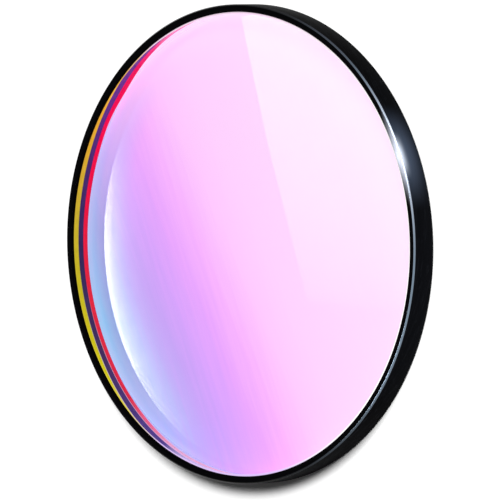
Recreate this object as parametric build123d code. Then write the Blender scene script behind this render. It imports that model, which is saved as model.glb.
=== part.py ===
from build123d import *
import os

# Laminated optical bandpass filter: flat glasses cemented into one stack and
# potted in a thin black ring, whose front lip they seat against.
# It lies on the rear of its ring, with +Z out of the front face.
# Lengths are in millimetres, and profile points are (radius, height).

# The ring's outside
RING_DIAMETER = 50.4
RING_WALL = 0.45
FRONT_CHAMFER = 0.15
REAR_CHAMFER = 0.2

# The front lip that the glass seats against
LIP_THICKNESS = 0.4
LIP_REACH = 0.35
LIP_CHAMFER = 0.15

# The glass stack, from the rear to the front
REAR_RECESS = 0.06
COATED_GLASS_THICKNESS = 0.4
RED_GLASS_THICKNESS = 0.64
VIOLET_GLASS_THICKNESS = 0.64
YELLOW_GLASS_THICKNESS = 0.86
CEMENT_THICKNESS = 0.05

# The front glass stands this far into the lip, and its face stops this far short of it
FRONT_STAND = 0.15
FRONT_GAP = 0.2

# The ground bevel round the rear of the coated glass
REAR_BEVEL = 0.1

# The potting between the glass edges and the ring
SEAL_WIDTH = 0.3
SEAL_MENISCUS = 0.04

# Radii that follow
ring_radius = RING_DIAMETER / 2
bore_radius = ring_radius - RING_WALL
lip_radius = bore_radius - LIP_REACH
glass_radius = bore_radius - SEAL_WIDTH
front_face_radius = lip_radius - FRONT_GAP

# Heights that follow, from the floor up
rear_bevel_top_z = REAR_RECESS + REAR_BEVEL
coated_face_z = REAR_RECESS + COATED_GLASS_THICKNESS
red_rear_z = coated_face_z + CEMENT_THICKNESS
red_front_z = red_rear_z + RED_GLASS_THICKNESS
violet_rear_z = red_front_z + CEMENT_THICKNESS
violet_front_z = violet_rear_z + VIOLET_GLASS_THICKNESS
yellow_rear_z = violet_front_z + CEMENT_THICKNESS
yellow_front_z = yellow_rear_z + YELLOW_GLASS_THICKNESS
lip_seat_z = yellow_front_z - FRONT_STAND
ring_height = lip_seat_z + LIP_THICKNESS

# The front glass's ground bevel runs on past the lip's lower inner corner, which it touches
bevel_slope = FRONT_STAND / FRONT_GAP
bevel_foot_z = lip_seat_z - (glass_radius - lip_radius) * bevel_slope


def turned(*edges):
    """A solid turned about the filter's axis from a closed outline of edges."""
    return revolve(Plane.XZ * make_face(Curve() + list(edges)), Axis.Z)


def plate(rear_z, front_z):
    """A flat round glass or cement film between two heights."""
    thickness = front_z - rear_z
    middle_z = (rear_z + front_z) / 2
    return Pos(0, 0, middle_z) * Cylinder(glass_radius, thickness)


def edge_ring():
    """The turned ring: a thin wall, a front lip, and chamfered outer and lip edges."""
    return turned(
        Polyline(
            (bore_radius, 0),
            (ring_radius - REAR_CHAMFER, 0),
            (ring_radius, REAR_CHAMFER),
            (ring_radius, ring_height - FRONT_CHAMFER),
            (ring_radius - FRONT_CHAMFER, ring_height),
            (lip_radius + LIP_CHAMFER, ring_height),
            (lip_radius, ring_height - LIP_CHAMFER),
            (lip_radius, lip_seat_z),
            (bore_radius, lip_seat_z),
            close=True,
        )
    )


def yellow_glass():
    """The front glass, with the ground bevel that seats in the lip."""
    return turned(
        Polyline(
            (0, yellow_rear_z),
            (glass_radius, yellow_rear_z),
            (glass_radius, bevel_foot_z),
            (front_face_radius, yellow_front_z),
            (0, yellow_front_z),
            close=True,
        )
    )


def coated_glass():
    """The rear glass, coated on its front face and bevelled round its rear one."""
    return turned(
        Polyline(
            (0, REAR_RECESS),
            (glass_radius - REAR_BEVEL, REAR_RECESS),
            (glass_radius, rear_bevel_top_z),
            (glass_radius, coated_face_z),
            (0, coated_face_z),
            close=True,
        )
    )


def edge_seal():
    """The black potting: a sleeve round the stack, a wedge under the lip and a hollow rear face."""
    middle_radius = (glass_radius + bore_radius) / 2
    middle_z = (rear_bevel_top_z + REAR_RECESS) / 2 + SEAL_MENISCUS
    return turned(
        ThreePointArc(
            (glass_radius, rear_bevel_top_z),
            (middle_radius, middle_z),
            (bore_radius, REAR_RECESS),
        ),
        Polyline(
            (bore_radius, REAR_RECESS),
            (bore_radius, lip_seat_z),
            (lip_radius, lip_seat_z),
            (glass_radius, bevel_foot_z),
            (glass_radius, rear_bevel_top_z),
        ),
    )


PIECES = {
    "edge_ring": edge_ring(),
    "edge_seal": edge_seal(),
    "yellow_glass": yellow_glass(),
    "front_cement": plate(violet_front_z, yellow_rear_z),
    "violet_glass": plate(violet_rear_z, violet_front_z),
    "middle_cement": plate(red_front_z, violet_rear_z),
    "red_glass": plate(red_rear_z, red_front_z),
    "rear_cement": plate(coated_face_z, red_rear_z),
    "coated_glass": coated_glass(),
}

os.makedirs("parts", exist_ok=True)
for name, piece in PIECES.items():
    export_step(piece, f"parts/{name}.step")
    print(f"{name}: {piece.volume:.2f} mm3")
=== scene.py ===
# %% [markdown]
# The object is a round optical bandpass filter, lying on its back. Coloured glasses and a coated glass are
# cemented into one stack, and the stack is potted in a thin black ring with a front lip. The packed model
# holds every piece at its real size, so this script only dresses those pieces. Their packed meshes could be
# kept and painted, but they are coarser and have knife edges. So each piece gets a new mesh of the same size,
# and its own finish.

# %% Load the frame
from math import cos, hypot, pi, radians, sin

import bmesh
import bpy
from mathutils import Matrix, Vector


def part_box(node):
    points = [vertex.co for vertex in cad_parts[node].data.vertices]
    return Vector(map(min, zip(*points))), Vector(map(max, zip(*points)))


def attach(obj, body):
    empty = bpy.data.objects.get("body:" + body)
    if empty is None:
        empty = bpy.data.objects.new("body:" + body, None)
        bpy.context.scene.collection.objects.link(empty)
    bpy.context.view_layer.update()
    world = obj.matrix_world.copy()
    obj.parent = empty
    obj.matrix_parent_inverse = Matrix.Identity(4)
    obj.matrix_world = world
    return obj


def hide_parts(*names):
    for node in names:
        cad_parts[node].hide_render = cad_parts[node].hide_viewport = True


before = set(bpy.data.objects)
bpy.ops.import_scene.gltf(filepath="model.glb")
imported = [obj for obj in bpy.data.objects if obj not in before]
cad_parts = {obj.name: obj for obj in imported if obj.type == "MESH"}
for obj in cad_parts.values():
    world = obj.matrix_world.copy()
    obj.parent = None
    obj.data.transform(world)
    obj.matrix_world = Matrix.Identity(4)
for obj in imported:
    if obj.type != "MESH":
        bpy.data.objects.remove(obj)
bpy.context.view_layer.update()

# %% [markdown]
# Sizes come from the frame where it can say them: each node's box gives its radius and its two heights. The
# lip, the chamfers and the bevels lie inside those boxes, so they are written here once, as on the drawing.
# Blender works in metres and a maker in millimetres, so a length is written as so many MM.

# %% Sizes
MM = 0.001
LIP_REACH = 0.35 * MM
LIP_CHAMFER = 0.15 * MM
FRONT_CHAMFER = 0.15 * MM
REAR_CHAMFER = 0.2 * MM
FRONT_STAND = 0.15 * MM
FRONT_GAP = 0.2 * MM
REAR_BEVEL = 0.1 * MM
SEAL_MENISCUS = 0.04 * MM


def heights(node):
    """The lowest and the highest height of a packed node."""
    low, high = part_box(node)
    return low.z, high.z


ring_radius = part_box("edge_ring")[1].x
ring_height = heights("edge_ring")[1]
bore_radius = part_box("edge_seal")[1].x
glass_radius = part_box("red_glass")[1].x
lip_radius = bore_radius - LIP_REACH
lip_seat = heights("edge_seal")[1]
lip_edge = ring_height - LIP_CHAMFER
front_corner = ring_radius - FRONT_CHAMFER
bevel_slope = FRONT_STAND / FRONT_GAP
rear_foot, coated_height = heights("coated_glass")
print(f"ring {ring_radius / MM:.2f} mm in radius, coated face {coated_height / MM:.2f} mm up")

# %% [markdown]
# In Blender an object is a name and a place, and its data is a mesh, a lamp or a camera. A bmesh is a mesh
# under construction, which has the modelling operators. These two helpers are the last steps of every piece
# below: the bmesh becomes a mesh, and the mesh becomes an object in the scene.

# %% Objects and meshes
def add_object(name, data):
    """An object with the given data, placed in the scene."""
    made = bpy.data.objects.new(name, data)
    bpy.context.scene.collection.objects.link(made)
    return made


def as_mesh(name, shape):
    """The mesh that a bmesh has built."""
    mesh = bpy.data.meshes.new(name)
    shape.to_mesh(mesh)
    shape.free()
    return mesh


# %% [markdown]
# The camera is a long lens 0.9 m away, looking down on the face from 43 degrees off its axis. It could be
# aimed by eye, but two measurements in the picture do it better: the pixel where the centre of the ring's
# rear face falls, and how many pixels one millimetre takes there. The disc is round, so it looks the same
# from any side, and turning the camera about its own line of sight stands the ellipse upright.

# %% Camera
PICTURE_PIXELS = 500
PIXELS_PER_MM = 9.5
CENTRE_PIXEL = (256.55, 243.6)
OFF_AXIS = radians(43.4)
ROLL = radians(2.05)
CAMERA_DISTANCE = 0.9
SENSOR = 36.0

sight = Vector((sin(OFF_AXIS), 0, cos(OFF_AXIS)))
level_right = Vector((cos(OFF_AXIS), 0, -sin(OFF_AXIS)))
level_up = Vector((0, 1, 0))
picture_right = level_right * cos(ROLL) - level_up * sin(ROLL)
picture_up = level_right * sin(ROLL) + level_up * cos(ROLL)
metres_per_pixel = MM / PIXELS_PER_MM


def on_sight_plane(pixel):
    """The point of the plane through the origin, square to the line of sight, that shows at a pixel."""
    across = (pixel[0] - CENTRE_PIXEL[0]) * metres_per_pixel
    down = (pixel[1] - CENTRE_PIXEL[1]) * metres_per_pixel
    return picture_right * across - picture_up * down


aim = on_sight_plane((PICTURE_PIXELS / 2, PICTURE_PIXELS / 2))
camera_place = aim + sight * CAMERA_DISTANCE
camera_data = bpy.data.cameras.new("camera")
camera_data.sensor_width = SENSOR
camera_data.lens = SENSOR * CAMERA_DISTANCE / (PICTURE_PIXELS * metres_per_pixel)
camera_data.clip_start = 0.01
camera_data.clip_end = 10
camera = add_object("camera", camera_data)
turn = Matrix((picture_right, picture_up, sight)).transposed().to_4x4()
camera.matrix_world = Matrix.Translation(camera_place) @ turn
bpy.context.scene.camera = camera
print(f"lens {camera_data.lens:.0f} mm")

# %% [markdown]
# Shader maths could be drawn node by node, but then one formula fills a page. This small class wraps a
# socket instead, so that 1 - mask or a * b adds the Math node that it stands for. Colours never go through
# it, because a Math node would turn them grey.

# %% Numbers on sockets
class Number:
    """A number that a socket gives, with Python's operators adding Math nodes."""

    def __init__(self, finish, socket):
        self.finish = finish
        self.socket = socket

    def using(self, operation, *values, clamp=False):
        """A Math node with this number first."""
        links = {place + 1: value for place, value in enumerate(values)}
        settings = {"operation": operation, "use_clamp": clamp}
        return self.finish.number("ShaderNodeMath", settings, {0: self, **links})

    def __add__(self, other):
        return self.using("ADD", other)

    __radd__ = __add__

    def __mul__(self, other):
        return self.using("MULTIPLY", other)

    __rmul__ = __mul__

    def __sub__(self, other):
        return self.using("SUBTRACT", other)

    def __rsub__(self, other):
        return (self * -1) + other

    def __truediv__(self, other):
        return self.using("DIVIDE", other)

    def __pow__(self, other):
        return self.using("POWER", other)

    def size(self):
        """The number without its sign."""
        return self.using("ABSOLUTE")

    def clamped(self):
        """The number kept between 0 and 1."""
        return self.using("ADD", 0.0, clamp=True)

    def rise(self, start, end):
        """0 up to start and 1 from end on, with a smooth step between them. start may be the larger."""
        settings = {"interpolation_type": "SMOOTHSTEP"}
        values = {"Value": self, "From Min": start, "From Max": end}
        return self.finish.number("ShaderNodeMapRange", settings, values, "Result")

    def growth(self, start, end):
        """0 up to start and 1 from end on, growing as a square between them. start may be the larger."""
        return ((self - start) / (end - start)).clamped() ** 2


print("shader numbers take + - * / ** and", ", ".join(word for word in vars(Number) if word[0] != "_"))

# %% [markdown]
# Colours are easiest to judge as they look on the screen, from 0 to 255, but a shader works with amounts of
# light. One function turns the first into the second, so the surface colours below are written as they
# should look.

# %% Colours
BLACK = (0, 0, 0, 1)
WHITE = (1, 1, 1, 1)


def from_screen(red, green, blue):
    """A colour given as 0 to 255 on the screen, as the linear colour that a shader takes."""
    shares = (part / 255 for part in (red, green, blue))
    linear = [s / 12.92 if s <= 0.04045 else ((s + 0.055) / 1.055) ** 2.4 for s in shares]
    return (*linear, 1.0)


print(f"mid grey on the screen is {from_screen(128, 128, 128)[0]:.2f} of the full light")

# %% [markdown]
# A finish is one material: its Principled shader and the nodes that feed it. Each node could have its own
# lines to add it, set it up and link it. Here one method does that for all kinds: it takes the node's type,
# its settings and what goes in its sockets. The short methods after it are the nodes used most.

# %% Node trees
MIX_FACTOR = 0
MIX_COLOURS = (6, 7)
MIX_RESULT = 2
FACE_SPAN = (-25, 25)


class Nodes:
    """A node tree, of a material or of the world, and short ways to add to it."""

    def __init__(self, tree):
        self.tree = tree

    def node(self, kind, settings=None, inputs=None):
        """Adds a node, sets it up, and fills or links its sockets."""
        made = self.tree.nodes.new(kind)
        for word, value in (settings or {}).items():
            if word == "stops":
                self.set_stops(made.color_ramp, value)
            else:
                setattr(made, word, value)
        for socket, value in (inputs or {}).items():
            self.feed(made.inputs[socket], value)
        return made

    def set_stops(self, ramp, stops):
        """Gives a ramp its (place, colour) stops."""
        while len(ramp.elements) > 1:
            ramp.elements.remove(ramp.elements[-1])
        ramp.elements[0].position, ramp.elements[0].color = stops[0]
        for place, colour in stops[1:]:
            ramp.elements.new(place).color = colour

    def feed(self, socket, value):
        """Links a socket to a node's output, or sets it to a plain value."""
        if isinstance(value, Number):
            value = value.socket
        if isinstance(value, bpy.types.NodeSocket):
            self.tree.links.new(value, socket)
        else:
            socket.default_value = value

    def number(self, kind, settings=None, inputs=None, output=0):
        """The number that a new node gives."""
        return Number(self, self.node(kind, settings, inputs).outputs[output])

    def seen_directly(self):
        """1 where the camera, a reflection or a clear body looks at the surface, and 0 for its light."""
        path = self.node("ShaderNodeLightPath")
        kinds = ("Camera", "Glossy", "Transmission")
        rays = [Number(self, path.outputs[f"Is {kind} Ray"]) for kind in kinds]
        return (rays[0] + rays[1] + rays[2]).clamped()

    def place(self):
        """The point being shaded, as three numbers in millimetres."""
        point = self.node("ShaderNodeTexCoord").outputs["Object"]
        parts = self.node("ShaderNodeSeparateXYZ", inputs={"Vector": point})
        return [Number(self, parts.outputs[axis]) * (1 / MM) for axis in "XYZ"]

    def vector(self, x, y, z):
        """Three numbers as one vector."""
        return self.node("ShaderNodeCombineXYZ", inputs={"X": x, "Y": y, "Z": z}).outputs["Vector"]

    def noise(self, vector, scale, detail=2.0, roughness=0.5):
        """Soft random spots from 0 to 1, the same in every render."""
        inputs = {"Vector": vector, "Scale": scale, "Detail": detail, "Roughness": roughness}
        return self.number("ShaderNodeTexNoise", {"noise_dimensions": "3D"}, inputs, "Fac")

    def blend(self, amount, first, second):
        """The first colour where amount is 0 and the second where it is 1."""
        inputs = {MIX_FACTOR: amount, MIX_COLOURS[0]: first, MIX_COLOURS[1]: second}
        return self.node("ShaderNodeMix", {"data_type": "RGBA"}, inputs).outputs[MIX_RESULT]

    def shades(self, distance, stops, span=FACE_SPAN, colour=from_screen):
        """The colour at a distance in millimetres, from (distance, shade) stops that lie within a span."""
        start, end = span
        places = [((at - start) / (end - start), colour(*shade)) for at, shade in stops]
        share = ((distance - start) / (end - start)).clamped()
        return self.node("ShaderNodeValToRGB", {"stops": places}, {"Fac": share}).outputs["Color"]


print("colour ramps reach from", FACE_SPAN[0], "to", FACE_SPAN[1], "mm, unless they say otherwise")

# %% [markdown]
# A Principled shader holds most real surfaces in one node, from black anodising to glass. What is the same
# all over a surface is a plain value on its sockets. What changes over the surface is fed to them by nodes.
# Cycles can also aim rays at every surface that gives light. Those below are there to be seen and not to
# light the others, so that is switched off.

# %% Finishes
class Finish(Nodes):
    """A material with a Principled shader. Its constants are set on the shader's own sockets."""

    def __init__(self, name, **constants):
        self.material = bpy.data.materials.new(name)
        self.material.use_nodes = True
        super().__init__(self.material.node_tree)
        self.shader = self.tree.nodes["Principled BSDF"]
        for word, value in constants.items():
            self.socket(word).default_value = value
        self.material.cycles.emission_sampling = "NONE"
        print("finish:", name)

    def socket(self, word):
        """The shader's socket for a word such as coat_weight."""
        return self.shader.inputs[word.replace("_", " ").title().replace("Ior", "IOR")]

    def drive(self, **inputs):
        """Feeds the shader's own sockets with what changes over the surface."""
        for word, value in inputs.items():
            self.feed(self.socket(word), value)

    def bump(self, height, strength, distance):
        """A bump from a height, fed to the shader's normal."""
        inputs = {"Height": height, "Strength": strength, "Distance": distance}
        bumped = self.node("ShaderNodeBump", inputs=inputs).outputs["Normal"]
        self.feed(self.shader.inputs["Normal"], bumped)


print("materials so far:", len(bpy.data.materials))

# %% [markdown]
# Every piece of this object is turned on a lathe or ground round, so each could be a stack of cylinders. A
# profile swept round the optical axis says the same in a few points, and it keeps bevels and chamfers in one
# skin. A spin makes the solid, and a small bevel breaks the metal's corners, so that they catch a thin line
# of light as real ones do.

# %% Turned pieces
ROUND_STEPS = 360
EDGE_BREAK = 0.02 * MM
WELD_DISTANCE = 0.0001 * MM
SAME_PLACE = 0.001 * MM
CORNER_ANGLE = radians(20)
SMOOTH_ANGLE = radians(40)


def turned_corner(edge):
    """True for an edge round the axis where two faces of the turned shape meet at a corner."""
    low, high = edge.verts
    level = abs(low.co.z - high.co.z) < SAME_PLACE
    same_radius = abs(low.co.xy.length - high.co.xy.length) < SAME_PLACE
    return level and same_radius and low.co.xy.length > MM and edge.calc_face_angle(0) > CORNER_ANGLE


def turned(name, profile, edge_break=EDGE_BREAK):
    """A mesh object turned about Z from (radius, height) points, anticlockwise from the axis or the bore."""
    shape = bmesh.new()
    points = [shape.verts.new((radius, 0, height)) for radius, height in profile]
    on_axis = profile[0][0] == 0
    pairs = zip(points, points[1:] + points[:1])
    edges = [shape.edges.new(pair) for pair in pairs if not (on_axis and pair[1] is points[0])]
    bmesh.ops.spin(
        shape,
        geom=points + edges,
        cent=(0, 0, 0),
        axis=(0, 0, 1),
        angle=2 * pi,
        steps=ROUND_STEPS,
        use_merge=True,
    )
    bmesh.ops.remove_doubles(shape, verts=shape.verts, dist=WELD_DISTANCE)
    corners = [edge for edge in shape.edges if turned_corner(edge)]
    if edge_break and corners:
        bmesh.ops.bevel(
            shape,
            geom=corners,
            offset=edge_break,
            offset_type="OFFSET",
            affect="EDGES",
            segments=2,
            profile=0.5,
            material=-1,
            clamp_overlap=True,
        )
    bmesh.ops.recalc_face_normals(shape, faces=shape.faces)
    mesh = as_mesh(name, shape)
    mesh.shade_smooth()
    mesh.set_sharp_from_angle(angle=SMOOTH_ANGLE)
    print(f"{name}: {len(mesh.polygons)} faces")
    return add_object(name, mesh)


def dress(piece, node, finishes, choose):
    """Puts a piece in its packed node's place, with the finish that choose gives for each face."""
    for finish in finishes:
        piece.data.materials.append(finish.material)
    for face in piece.data.polygons:
        face.material_index = choose(face)
    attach(piece, "root")
    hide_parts(node)


print(f"one step round the ring is {2 * pi * ring_radius / MM / ROUND_STEPS:.2f} mm long")

# %% [markdown]
# The ring is turned from aluminium and anodised, which is a thin, black, matt skin on the metal. Turning has
# left fine rings in it, and handling has left hair scratches on the wall. On one side a highlight is painted:
# the front land and the wall's front edge are painted as bright bare metal there, and the wall below them
# has a painted grey-blue sheen. Where X is high the wall has a faint painted sheen as well. These marks could
# be modelled, but they are finer than a mesh should be. So they are colour, roughness and bump, placed by how
# far a point lies round the ring, up it and out from its axis.

# %% Places on the ring
HIGHLIGHT_AT = 8.8
# The painted highlight fades sooner inwards on the land: 1 mm inwards counts as this many round the ring
HIGHLIGHT_INWARD_FADE = 3


def length(x, y):
    """The length of a flat step of x and y, such as the one from the optical axis out to a point."""
    return (x * x + y * y) ** 0.5


def round_ring(x, y):
    """How far round the ring a point lies from +X, in millimetres, counted towards +Y."""
    return y.using("ARCTAN2", x) * (ring_radius / MM)


def from_highlight(x, y):
    """How far round the ring a point lies from the middle of its painted highlight, in millimetres."""
    return (round_ring(x, y) - HIGHLIGHT_AT).size()


print(f"the ring is {2 * pi * ring_radius / MM:.0f} mm round, and rubbed {HIGHLIGHT_AT} mm from +X")

# %% The ring's black finish
anodised = Finish("black anodised", ior=1.06, specular_ior_level=0.2)
x, y, z = anodised.place()
out = length(x, y)
wall = out.rise(ring_radius / MM - 0.05, ring_radius / MM - 0.01)
land = z.rise(ring_height / MM - 0.03, ring_height / MM - 0.005)

# Marks of the lathe run round the ring, and scratches slant across its wall
turning = anodised.noise(anodised.vector(out * 30, z * 30, 0.0), scale=1.0, detail=3.0)
mottle = anodised.noise(anodised.vector(x, y, z), scale=0.8, detail=3.0)
slant = anodised.vector(round_ring(x, y) * 0.35 + z * 2.4, z * 0.5, 3.0)
scratches = (anodised.noise(slant, scale=3.2, detail=0.0) - 0.5).size().rise(0.03, 0.0)

# The painted highlight is strongest at the front corner, weakest at the wall's foot and the land's inside
highlight_distance = from_highlight(x, y)
inwards = front_corner / MM - out
wall_sheen = wall * highlight_distance.rise(6.2, 0.0) * z.rise(-0.5, 2.6)
edge_highlight = wall * highlight_distance.rise(2.8, 0.3) * z.rise(1.6, 3.0) ** 2
land_highlight = land * (highlight_distance + inwards * HIGHLIGHT_INWARD_FADE).rise(6.3, -0.7)

# Over the black: painted sheen where X is high, painted grey-blue sheen, scratches, painted highlights
skin = from_screen(4, 4, 5)
for amount, shade in (
    (wall * x.rise(16, 25), (16, 17, 21)),
    (wall_sheen, (92, 105, 128)),
    (wall * scratches * 0.35, (52, 55, 62)),
    (land_highlight, (204, 210, 226)),
    (edge_highlight, (228, 238, 255)),
):
    skin = anodised.blend(amount, skin, from_screen(*shade))
anodised.drive(
    base_color=skin,
    metallic=land_highlight + edge_highlight,
    roughness=0.36 + 0.12 * mottle + 0.06 * turning,
)
anodised.bump(turning, strength=0.15, distance=0.01 * MM)

# %% [markdown]
# The ring's outer front corner is cut again after the anodising, which leaves a thin line of bare metal
# round the black. A mirror finish would show only the white room, so a reflection is painted along X
# instead: dull where X is low, bright where it is high, and with a painted highlight at the brightest. Fine
# noise that hardly changes along the ring makes the tool's marks.

# %% The bright chamfer's finish
CUT_LIGHT_SPAN = (0, 26)
CUT_LIGHT_SHADES = [
    (0.0, (4, 4, 5)),
    (4.42, (14, 14, 16)),
    (8.84, (38, 40, 44)),
    (13.0, (66, 72, 80)),
    (16.64, (84, 94, 104)),
    (20.28, (116, 130, 146)),
    (23.4, (126, 142, 158)),
]
CUT_HIGHLIGHT = from_screen(160, 169, 184)
bright_cut = Finish("bright cut chamfer", metallic=1.0)
x, y, z = bright_cut.place()
tool_marks = bright_cut.vector(length(x, y) * 24, z * 24, round_ring(x, y) * 0.05)
cutting = bright_cut.noise(tool_marks, scale=1.0, detail=2.0)
# A painted reflection along X, and a painted highlight where the ring's painted highlight lies
cut_reflection = bright_cut.shades(x, CUT_LIGHT_SHADES, CUT_LIGHT_SPAN)
highlit = bright_cut.blend(from_highlight(x, y).rise(11.5, 3), cut_reflection, CUT_HIGHLIGHT)
bright_cut.drive(
    base_color=bright_cut.blend(cutting * 0.2, highlit, BLACK),
    roughness=0.2 + 0.12 * cutting,
)

# %% [markdown]
# The ring itself is one turned piece: a straight wall, a lip that reaches in over the glass, and a chamfer
# at each outer corner. Its nine profile points follow the drawing. The bright cut could be a second mesh, but
# that would leave a seam, so its faces are picked out of this one by where they lie and how they slant.

# %% The ring
ring = turned(
    "ring",
    [
        (bore_radius, 0),
        (ring_radius - REAR_CHAMFER, 0),
        (ring_radius, REAR_CHAMFER),
        (ring_radius, ring_height - FRONT_CHAMFER),
        (front_corner, ring_height),
        (lip_radius + LIP_CHAMFER, ring_height),
        (lip_radius, lip_edge),
        (lip_radius, lip_seat),
        (bore_radius, lip_seat),
    ],
)


# How far up the bright cut's faces point, from 0 for a wall to 1 for a level face
CUT_SLANT = (0.3, 0.9)


def on_front_chamfer(face):
    """1 for a face of the bright cut and 0 for a black one."""
    outside = hypot(face.center.x, face.center.y) > front_corner - EDGE_BREAK
    return outside and CUT_SLANT[0] < face.normal.z < CUT_SLANT[1]


dress(ring, "edge_ring", [anodised, bright_cut], on_front_chamfer)

# %% [markdown]
# Black epoxy, the potting, holds the stack in the ring. It fills the sleeve round the glass edges and the
# wedge under the lip, and its rear face has drawn in a little as it cured. It could be left out, as hardly
# any of it shows, but from behind a gap would then show round the glass. It stands a few micrometres clear of
# the ring, because a renderer can't tell two faces in one plane apart.

# %% The potting
CLEAR = 0.004 * MM
POTTING_DARK = from_screen(12, 12, 14)
POTTING_PALE = from_screen(24, 24, 27)
potting = Finish("black potting")
cured = potting.noise(potting.vector(*potting.place()), scale=2.5, detail=3.0)
potting.drive(
    base_color=potting.blend(cured, POTTING_DARK, POTTING_PALE),
    roughness=0.45 + 0.2 * cured,
)
potting.bump(cured, strength=0.2, distance=0.03 * MM)

seal = turned(
    "potting",
    [
        (glass_radius, rear_foot + REAR_BEVEL),
        ((glass_radius + bore_radius) / 2, rear_foot + REAR_BEVEL / 2 + SEAL_MENISCUS),
        (bore_radius - CLEAR, rear_foot),
        (bore_radius - CLEAR, lip_seat - CLEAR),
        (lip_radius + CLEAR, lip_seat - CLEAR),
        (glass_radius, lip_seat - (glass_radius - lip_radius) * bevel_slope),
    ],
    edge_break=0,
)
dress(seal, "edge_seal", [potting], lambda face: 0)

# %% [markdown]
# The glasses are clear through their faces and show their colour at the ground edge, where light that runs
# along inside the glass comes out. That light is a painted glow in each edge's own colours. Tinted glass
# could be rendered as it is, but light that has to find its way through a whole stack of it needs many more
# samples. So each glass has two finishes: a clear one on its flat faces, which lets the layer below show, and
# a full colour on its edge.

# %% Clear faces
clear_face = Finish("clear glass face", base_color=WHITE, roughness=0.02, alpha=0.0)
clear_cement = Finish("clear cement face", base_color=WHITE, roughness=0.02, alpha=0.0)

# %% [markdown]
# Seen through the clear front, the edges make one wall of coloured stripes under the lip, yellow on top,
# then violet, red and a pale one. Each glass could simply have its own flat colour, but the stripes of the
# real filter close up towards both ends of the wall, and their colours drift along it. So one recipe paints
# every edge, by the depth under the lip's seat, and shifts that depth towards the ends. The colours are
# picked along Y, in millimetres from the middle of the face.

# %% The stripes' colours
YELLOWS = [
    (-22.0, (206, 188, 240)),
    (-20.0, (232, 218, 150)),
    (-14.0, (216, 204, 14)),
    (-4.0, (206, 190, 36)),
    (6.0, (207, 176, 50)),
    (14.0, (236, 172, 44)),
    (18.0, (252, 198, 84)),
]
VIOLETS = [
    (-22.6, (206, 188, 240)),
    (-21.0, (82, 62, 140)),
    (-12.0, (68, 46, 92)),
    (0.0, (52, 42, 90)),
    (9.0, (70, 42, 108)),
    (14.0, (88, 44, 130)),
    (21.5, (114, 52, 150)),
]
REDS = [
    (-21.5, (240, 176, 214)),
    (-19.0, (248, 106, 144)),
    (-16.0, (228, 42, 68)),
    (-4.0, (236, 38, 62)),
    (4.0, (242, 20, 64)),
    (13.0, (248, 4, 74)),
    (19.0, (234, 10, 86)),
    (21.0, (238, 40, 120)),
    (22.7, (250, 128, 184)),
]
PALES = [
    (-20.0, (200, 192, 246)),
    (-8.0, (176, 190, 240)),
    (4.0, (176, 180, 240)),
    (12.0, (226, 190, 250)),
    (20.0, (254, 218, 252)),
]
print("stripe colours:", sum(len(stops) for stops in (YELLOWS, VIOLETS, REDS, PALES)))

# %% The glasses' edges
# For each join between two layers: its depth, how much deeper it lies at the upper end, how strongly its
# cement shows as a line, and the colours below it
JOINS = (
    (0.735, 0.0, 0.8, VIOLETS),
    (1.475, 0.14, 0.8, REDS),
    (2.115, 0.35, 0.0, PALES),
)
JOIN_BLUR = 0.02
CEMENT_LINE = (0.06, 0.02)
CEMENT_SHADE = from_screen(218, 190, 214)


def glass_edge(name):
    """The edge of one glass or film. The stack's colours run down it, and close up at the ends of Y."""
    # The edge's colour is also given off as light: a painted glow
    finish = Finish(name, ior=1.1, roughness=0.35, emission_strength=0.75)
    x, y, z = finish.place()

    # At both ends of Y the stripes rise under the lip, at the upper end they thin out too, and at the lower
    # end the yellow one thins out first
    closing = y.growth(6, 24) * 1.15 + y.growth(-8, -22) * 0.45
    depth = (lip_seat / MM - z) * (y.growth(16, 24) * 0.6 + 1) + closing
    depth = depth + y.growth(-4, -18) * 0.25 * depth.rise(1.2, 0.7)

    # From the lip down, each join covers what lies below it with the next glass's colours
    colour = finish.shades(y, YELLOWS)
    for join, deeper, line, stops in JOINS:
        past_join = (depth - y.rise(13, 17.5) * deeper).rise(join - JOIN_BLUR, join + JOIN_BLUR)
        colour = finish.blend(past_join, colour, finish.shades(y, stops))
        if line:
            cement = (depth - join).size().rise(*CEMENT_LINE) * y.rise(-2, -14) * line
            colour = finish.blend(cement, colour, CEMENT_SHADE)
    ground = finish.noise(finish.vector(x, y, z), scale=1.6, detail=3.0)
    finish.drive(base_color=finish.blend(ground * 0.3 + 0.5, colour, BLACK), emission_color=colour)
    return finish


yellow_edge = glass_edge("yellow glass edge")
violet_edge = glass_edge("violet glass edge")
red_edge = glass_edge("red glass edge")
cement_edge = glass_edge("cement edge")

# %% [markdown]
# The front glass has a ground bevel, which seats in the lip. It frosts the light that leaves the stack, and
# that light is painted on as a glow: yellow beside the yellow stripe, and nearly white where X is high and
# the bright face shines through. It could share the edge's finish, but it slants up to the lamps, so it has
# one with a weaker painted glow of its own.

# %% The ground bevel
BEVEL_SHADES = [
    (-21.0, (214, 190, 240)),
    (-17.0, (226, 208, 60)),
    (0.0, (204, 184, 44)),
    (13.0, (228, 166, 50)),
    (18.0, (250, 186, 60)),
    (20.0, (250, 202, 150)),
    (21.5, (252, 226, 246)),
]
FACE_SHINING_THROUGH = from_screen(255, 250, 252)
ground_bevel = Finish("ground bevel", specular_ior_level=0.3, roughness=0.35, emission_strength=0.5)
x, y = ground_bevel.place()[:2]
beside_stripe = ground_bevel.shades(y, BEVEL_SHADES)
# Painted light: nearly white where X is high, and all of it given off as a painted glow
frosted_glow = ground_bevel.blend(x.rise(2, 16), beside_stripe, FACE_SHINING_THROUGH)
ground_bevel.drive(base_color=ground_bevel.blend(0.45, frosted_glow, BLACK), emission_color=frosted_glow)

# %% [markdown]
# The three coloured glasses and the three films of cement could be made one by one, but they are flat discs
# of one radius, so one function makes all six. Each is a hair smaller than its node, for the same reason as
# the potting. Only the front glass has the bevel, which runs past the lip's lower corner up to its face.

# %% The glass layers
# How far up a face points that counts as level, and one that counts as slanted
LEVEL = 0.99
SLANTED = 0.3


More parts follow.
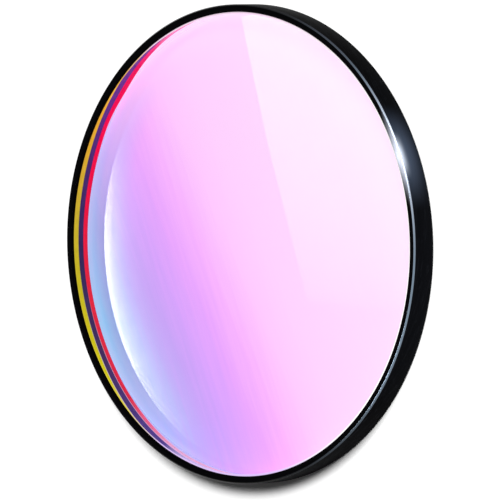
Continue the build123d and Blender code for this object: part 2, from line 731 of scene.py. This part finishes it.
def layer(name, node, edge_finish, face_finish, bevel=(0.0, 0.0)):
    """One flat glass or cement film. bevel is the width and the drop of a ground bevel round its front."""
    low, high = heights(node)
    width, drop = bevel
    edge_radius = glass_radius - CLEAR
    top = [(edge_radius - width, high - CLEAR)] if width else []
    profile = [
        (0, low + CLEAR),
        (edge_radius, low + CLEAR),
        (edge_radius, high - CLEAR - drop),
        *top,
        (0, high - CLEAR),
    ]

    def finish_of(face):
        if abs(face.normal.z) > LEVEL:
            return 0
        return 2 if face.normal.z > SLANTED else 1

    piece = turned(name, profile, edge_break=0)
    dress(piece, node, [face_finish, edge_finish, ground_bevel], finish_of)


bevel_width = glass_radius - lip_radius + FRONT_GAP
front_bevel = (bevel_width, bevel_width * bevel_slope)
layer("yellow_layer", "yellow_glass", yellow_edge, clear_face, front_bevel)
layer("front_cement_film", "front_cement", cement_edge, clear_cement)
layer("violet_layer", "violet_glass", violet_edge, clear_face)
layer("middle_cement_film", "middle_cement", cement_edge, clear_cement)
layer("red_layer", "red_glass", red_edge, clear_face)
layer("rear_cement_film", "rear_cement", cement_edge, clear_cement)

# %% [markdown]
# The coating is what the filter is bought for: many films, each thinner than a wave of light, which pass one
# band of colour and throw back the rest. Its colour drifts across the face, from blue over violet and pink
# to nearly white. Blender can work out one thin film, but not a stack of dozens, so the drift is a colour
# ramp along one direction of the face, and faint streaks push it to and fro. Its gloss is a clear coat that
# mirrors the studio. That adds some white, which is taken off the colours beforehand.

# %% The coating's drift
COAT_WHITE = 0.049
SWEEP = radians(29)
SWEEP_SPAN = (-24, 24)
STREAKS = radians(21)
STREAK_SHIFT = 2.64
SWEEP_SHADES = [
    (-23.0, (160, 190, 240)),
    (-20.0, (178, 178, 240)),
    (-18.0, (185, 166, 240)),
    (-16.0, (195, 160, 242)),
    (-13.0, (213, 161, 249)),
    (-10.0, (231, 165, 252)),
    (-7.0, (246, 178, 254)),
    (-3.0, (254, 200, 254)),
    (1.0, (254, 209, 254)),
    (8.0, (254, 216, 254)),
    (16.0, (254, 221, 254)),
    (23.0, (254, 227, 254)),
]


def under_coat(red, green, blue):
    """A colour as it shows on the screen, less the white that the clear coat mirrors over it."""
    return (*(part - COAT_WHITE for part in from_screen(red, green, blue)[:3]), 1.0)


coating = Finish(
    "dichroic coating", roughness=0.5, specular_ior_level=0.0, coat_weight=1.0, coat_roughness=0.004
)
x, y = coating.place()[:2]
across_streaks = (x * cos(STREAKS) + y * sin(STREAKS)) * 1.6
along_streaks = (y * cos(STREAKS) - x * sin(STREAKS)) * 0.06
streak_place = coating.vector(across_streaks, along_streaks, 0.0)
streaks = coating.noise(streak_place, scale=1.0, detail=4.0, roughness=0.65) - 0.5
swept = x * cos(SWEEP) + y * sin(SWEEP) + streaks * STREAK_SHIFT
drift = coating.shades(swept, SWEEP_SHADES, SWEEP_SPAN, under_coat)

# %% [markdown]
# Towards the rim where X is low, where the face mirrors the ring's dark lip, a crescent is painted from
# periwinkle to sky blue, as a painted reflection. It could be a second ramp along the sweep, but its edge is
# round, so it is placed by the depth inside a circle that is larger than the glass and off its centre.
# Outside that circle the rim has its own shades.

# %% The coating's crescent
CRESCENT_CENTRE = (5.25, 0.85)
CRESCENT_RADIUS = 27.45
RIM_SHADES = [
    (-18.0, (178, 197, 242)),
    (-8.0, (148, 203, 246)),
    (2.0, (162, 194, 244)),
    (6.5, (171, 195, 248)),
    (10.0, (172, 196, 252)),
    (13.0, (182, 198, 254)),
    (15.5, (206, 202, 254)),
    (20.0, (254, 216, 254)),
]
INNER_SHADES = [
    (-18.0, (176, 182, 238)),
    (-8.0, (148, 171, 228)),
    (2.0, (166, 168, 232)),
    (10.0, (201, 178, 250)),
    (15.0, (225, 190, 254)),
    (20.0, (254, 208, 254)),
]
PINKER = under_coat(248, 188, 250)
inside_circle = CRESCENT_RADIUS - length(x - CRESCENT_CENTRE[0], y - CRESCENT_CENTRE[1])
# The crescent is a painted reflection of the ring's dark lip
crescent = inside_circle.rise(4.5, -0.1) * y.rise(24, 18) * y.rise(-21, -14)
rim_blues = coating.shades(y, RIM_SHADES, colour=under_coat)
inner_blues = coating.shades(y, INNER_SHADES, colour=under_coat)
blues = coating.blend(inside_circle.rise(-2.0, 0.0), rim_blues, inner_blues)
face_colour = coating.blend(crescent, drift, blues)
strong_streaks = (streaks + 0.1).clamped() * 0.15
coating.drive(base_color=coating.blend(strong_streaks, face_colour, PINKER))
print("the crescent reaches", CRESCENT_RADIUS - CRESCENT_CENTRE[0], "mm out along X")

# %% [markdown]
# The coated glass closes the stack at the rear. Its coated front is what one sees through all the clear
# layers. The whole piece could wear the coating, but the films lie on one side only. So the body behind them,
# with its small bevel, is plain glass, and the rear face is a deeper purple.

# %% The coated glass
glass_body = Finish("coated glass body", base_color=from_screen(150, 170, 225), roughness=0.3)
rear_face = Finish("coated glass rear", base_color=from_screen(150, 70, 160), roughness=0.12, metallic=0.6)
edge_radius = glass_radius - CLEAR
coated = turned(
    "coated_layer",
    [
        (0, rear_foot),
        (edge_radius - REAR_BEVEL, rear_foot),
        (edge_radius, rear_foot + REAR_BEVEL),
        (edge_radius, coated_height - CLEAR),
        (0, coated_height - CLEAR),
    ],
    edge_break=0,
)


def coated_finish_of(face):
    """0 for the coated front, 2 for the rear face and 1 for the body between them."""
    if face.normal.z > LEVEL:
        return 0
    return 2 if face.normal.z < -LEVEL else 1


dress(coated, "coated_glass", [coating, glass_body, rear_face], coated_finish_of)

# %% [markdown]
# The floor is a plain sheet of white paper. A real one would throw its white back up onto the ring's wall
# and make the black greyer. So it is white only to what looks at it, which is the camera, a reflection or a
# clear body. To light that bounces off it, it is a shade darker.

# %% Floor
FLOOR_SIZE = 3.0
FLOOR_BOUNCE = (0.8, 0.8, 0.8, 1)
shape = bmesh.new()
bmesh.ops.create_grid(shape, x_segments=1, y_segments=1, size=FLOOR_SIZE)
floor = add_object("floor", as_mesh("floor", shape))
paper = Finish("paper floor", roughness=0.9, specular_ior_level=0.0)
paper.drive(base_color=paper.blend(paper.seen_directly(), FLOOR_BOUNCE, WHITE))
floor.data.materials.append(paper.material)

# %% [markdown]
# One lamp could light everything, but the lip would then shade the face, and the floor and the filter want
# different light. So each lamp is kept to what it is for, which Blender calls light linking. The key lamp
# lights the floor alone, and makes the filter's soft shadow there. The filter has a lamp overhead that
# casts no shadow, and a weak one on the camera's side. A lamp's level is what a white card facing it shows.

# %% Lamps
def lamp(name, direction, distance, size, level, shadow=True):
    """A soft lamp that lights a white card at the origin to the level given, if the card faces the lamp."""
    data = bpy.data.lights.new(name, "AREA")
    data.size = size
    data.energy = level * pi * pi * distance**2
    data.use_shadow = shadow
    made = add_object(name, data)
    towards = Vector(direction).normalized()
    facing = towards.to_track_quat("Z", "Y").to_matrix().to_4x4()
    made.matrix_world = Matrix.Translation(towards * distance) @ facing
    made.visible_camera = False
    print(f"{name}: {data.energy:.1f} W")
    return made


def light_only(lamp_object, pieces):
    """Keeps a lamp's light to the given objects."""
    lit = bpy.data.collections.new(f"lit by {lamp_object.name}")
    for piece in pieces:
        lit.objects.link(piece)
    lamp_object.light_linking.receiver_collection = lit


key = lamp("key", (0.4, 0.36, 0.84), distance=1.5, size=0.55, level=1.34)
overhead = lamp("overhead", (-0.1, -0.45, 0.89), distance=0.6, size=0.2, level=1.0, shadow=False)
fill = lamp("fill", (0.596, 0.482, 0.643), distance=0.6, size=0.2, level=0.25)
pieces = [made for made in bpy.context.scene.objects if made.type == "MESH" and made is not floor]
light_only(key, [floor])
light_only(overhead, pieces)
light_only(fill, pieces)

# %% [markdown]
# A glossy face shows what stands opposite it, so its highlights are made as a photographer makes them: with
# cards held over it. They could be painted on, but then they would stay put as the view turns, while a
# card's reflection slides. Only reflections see these cards. To find where a card has to be for its edge to
# show at a given pixel, the camera is mirrored in the coated face, and its line of sight is followed on to
# the card's height.

# %% Cards in the reflections
CARD_HEIGHT = 60 * MM
CARD_HIDDEN_FROM = ("camera", "diffuse", "transmission", "volume_scatter", "shadow")
mirrored_camera = Vector((camera_place.x, camera_place.y, 2 * coated_height - camera_place.z))


def face_point(pixel):
    """The point of the coated face that shows at a pixel."""
    line = on_sight_plane(pixel) - camera_place
    return camera_place + line * ((coated_height - camera_place.z) / line.z)


def seen_through(point, height=CARD_HEIGHT):
    """Where the mirrored camera's line of sight through a point reaches a height."""
    line = point - mirrored_camera
    return mirrored_camera + line * ((height - mirrored_camera.z) / line.z)


def card(name, corners, finish):
    """A flat card with the given corners, seen by reflections alone."""
    shape = bmesh.new()
    shape.faces.new([shape.verts.new(corner) for corner in corners])
    made = add_object(name, as_mesh(name, shape))
    made.data.materials.append(finish.material)
    for ray in CARD_HIDDEN_FROM:
        setattr(made, f"visible_{ray}", False)
    print(f"{name}: {len(corners)} corners, {corners[0].z / MM:.0f} mm up")


def glow(name, strength):
    """A finish that does nothing but give light."""
    return Finish(name, base_color=BLACK, specular_ior_level=0.0, emission_strength=strength)


def light_up(finish, strength, amount):
    """Full light where amount is 1. Where it is 0, the card is as bright as the white room behind it."""
    room = 1 / strength
    finish.drive(emission_color=finish.blend(amount.clamped(), (room, room, room, 1), WHITE))


print(f"the mirrored camera lies {-mirrored_camera.z / MM:.0f} mm under the floor")

# %% [markdown]
# The first card is broad, and its slanted edge draws the line that runs down the face from the top. It could
# be evenly lit, but then it would end in a second hard edge. So its light is strongest at the top of the
# face, and fades to the room's own white at its foot.

# %% The broad card
GLOSS_STRENGTH = 4.4
GLOSS_FADE = 0.55
GLOSS_EDGE = [(240, 12), (268, 145), (307, 300)]
GLOSS_RIGHT = [(470, 320), (470, -20), (236, -20)]
GLOSS_BRIGHTEST = (300, 20)
GLOSS_ENDS = (300, 312)
gloss_glow = glow("gloss card", GLOSS_STRENGTH)
gloss_top = seen_through(face_point(GLOSS_BRIGHTEST)).y / MM
gloss_foot = seen_through(face_point(GLOSS_ENDS)).y / MM
y = gloss_glow.place()[1]
up_card = (y - gloss_foot) / (gloss_top - gloss_foot)
light_up(gloss_glow, GLOSS_STRENGTH, up_card.clamped() ** GLOSS_FADE)
card("gloss_card", [seen_through(face_point(pixel)) for pixel in GLOSS_EDGE + GLOSS_RIGHT], gloss_glow)

# %% [markdown]
# The face also mirrors the underside of the lip, and inside that dark line a bright curved one runs along
# the crescent. It comes from a second card, whose light follows the lip's edge as the face mirrors it. The
# card could be cut to that curve, but a plain rectangle is enough, because the curve is in its light: this
# falls off inwards from a circle, fast at first and then slowly, as a sum of two exponentials does.

# %% The curved card
ARC_STRENGTH = 21.5
ARC_HEIGHT = CARD_HEIGHT + MM
ARC_CENTRE = (3.03, 0.85)
ARC_RADIUS = 27.54
ARC_BOUNDS = [(-27, -27), (-10, -27), (-10, 27), (-27, 27)]
arc_middle = seen_through(Vector((0, 0, lip_edge)), ARC_HEIGHT)
arc_scale = (ARC_HEIGHT - mirrored_camera.z) / (lip_edge - mirrored_camera.z)
arc_glow = glow("arc card", ARC_STRENGTH)
x, y = arc_glow.place()[:2]
across = (x - arc_middle.x / MM) / arc_scale
along = (y - arc_middle.y / MM) / arc_scale
from_centre = length(across - ARC_CENTRE[0], along - ARC_CENTRE[1])
inside_arc = (ARC_RADIUS - from_centre).using("MAXIMUM", 0.0)
slow = (inside_arc * -0.6).using("EXPONENT") * 0.78
fast = (inside_arc * -1.6).using("EXPONENT") * 0.22
falling_off = slow + fast
light_up(arc_glow, ARC_STRENGTH, falling_off * along.rise(13, 1) * along.rise(-22, -8))
card("arc_card", [arc_middle + Vector((x, y, 0)) * arc_scale * MM for x, y in ARC_BOUNDS], arc_glow)

# %% [markdown]
# The world is the room round the studio. It could light the filter by itself, but without lamps nothing
# would cast a shadow. So it gives only a little light, and shows white to the camera and in reflections, as
# the floor does. Many clear faces lie behind each other here, and a ray has to be let through more of them
# than Blender allows by default.

# %% World and picture settings
ROOM_LIGHT = (0.06, 0.06, 0.06, 1)
CLEAR_FACES_PASSED = 64
world = bpy.data.worlds.new("studio")
world.use_nodes = True
bpy.context.scene.world = world
sky = Nodes(world.node_tree)
background = sky.tree.nodes["Background"]
sky.feed(background.inputs["Color"], sky.blend(sky.seen_directly(), ROOM_LIGHT, WHITE))
bpy.context.scene.view_settings.view_transform = "Standard"
bpy.context.scene.cycles.transparent_max_bounces = CLEAR_FACES_PASSED
print("the room gives", ROOM_LIGHT[0], "of its white as light")

# %% [markdown]

# %% [markdown]
